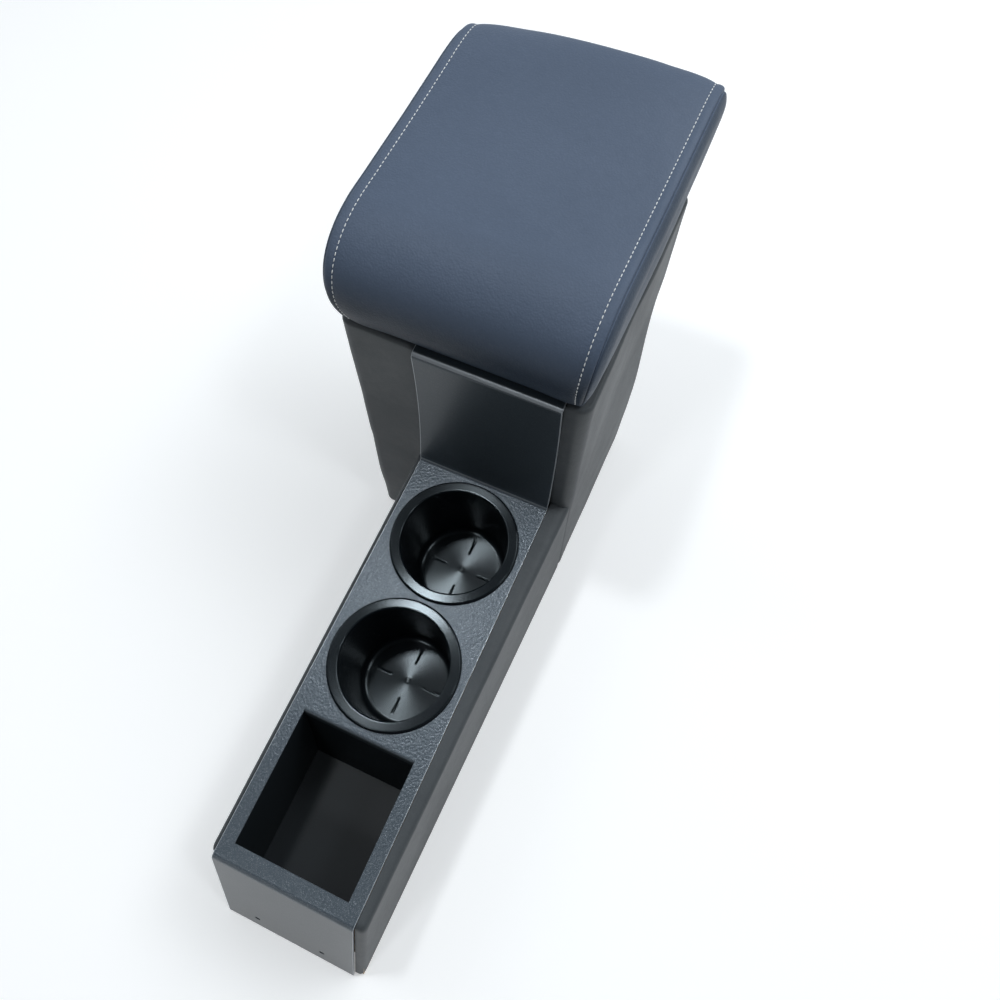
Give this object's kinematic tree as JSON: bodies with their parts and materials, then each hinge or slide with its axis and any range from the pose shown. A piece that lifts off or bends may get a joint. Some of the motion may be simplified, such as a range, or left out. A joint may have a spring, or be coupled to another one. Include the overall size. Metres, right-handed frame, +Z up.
{
  "type": "car centre armrest",
  "caption": "Car centre console armrest: folded deck plate with a pocket and two cup holders in front of a padded storage box with a hinged lid.",
  "frame": {"origin": "on the floor, below the middle of the whole part's box", "axes": "+X to the right seen from the front end, +Y towards the armrest at the rear, +Z up"},
  "size_m": [0.195, 0.627, 0.3115],
  "materials": {
    "deck_paint": "fine textured powder coat",
    "gloss_black": "gloss black moulding",
    "matt_black": "matt black",
    "plywood": "bare plywood",
    "felt": "needle felt",
    "body_leatherette": "soft grey leatherette",
    "lid_leatherette": "slate blue-grey grained leatherette",
    "lid_side_leatherette": "slate blue-grey grained leatherette",
    "foam": "open foam",
    "zinc": "zinc plated"
  },
  "bodies": {
    "console": {"deck_plate": "deck_paint", "front_cup_holder": "gloss_black", "rear_cup_holder": "gloss_black", "pocket_tray": "matt_black", "right_side_board": "plywood", "left_side_board": "plywood", "right_rail": "plywood", "front_board": "plywood", "box_front_board": "plywood", "box_left_board": "plywood", "box_right_board": "plywood", "box_rear_board": "plywood", "box_floor_board": "plywood", "bin_liner": "felt", "right_side_cover": "body_leatherette", "left_side_cover": "body_leatherette", "box_left_cover": "body_leatherette", "box_rear_cover": "body_leatherette", "plate_screws": "zinc", "hinge_fixed_leaf": "zinc", "hinge_pin": "zinc", "hinge_fixed_screws": "zinc"},
    "lid": {"hinge_moving_leaf": "zinc", "hinge_lid_screws": "zinc", "lid_board": "plywood", "lid_foam": "foam", "lid_top_cover": "lid_leatherette", "lid_left_cover": "lid_side_leatherette", "lid_right_cover": "lid_side_leatherette", "lid_lining": "felt"}
  },
  "joints": [
    {"name": "lid_hinge", "type": "hinge", "parent": "console", "child": "lid", "pos_m": [0, 0.27355, 0.2365], "axis": [-1, 0, 0], "range_deg": [0, 100]}
  ]
}
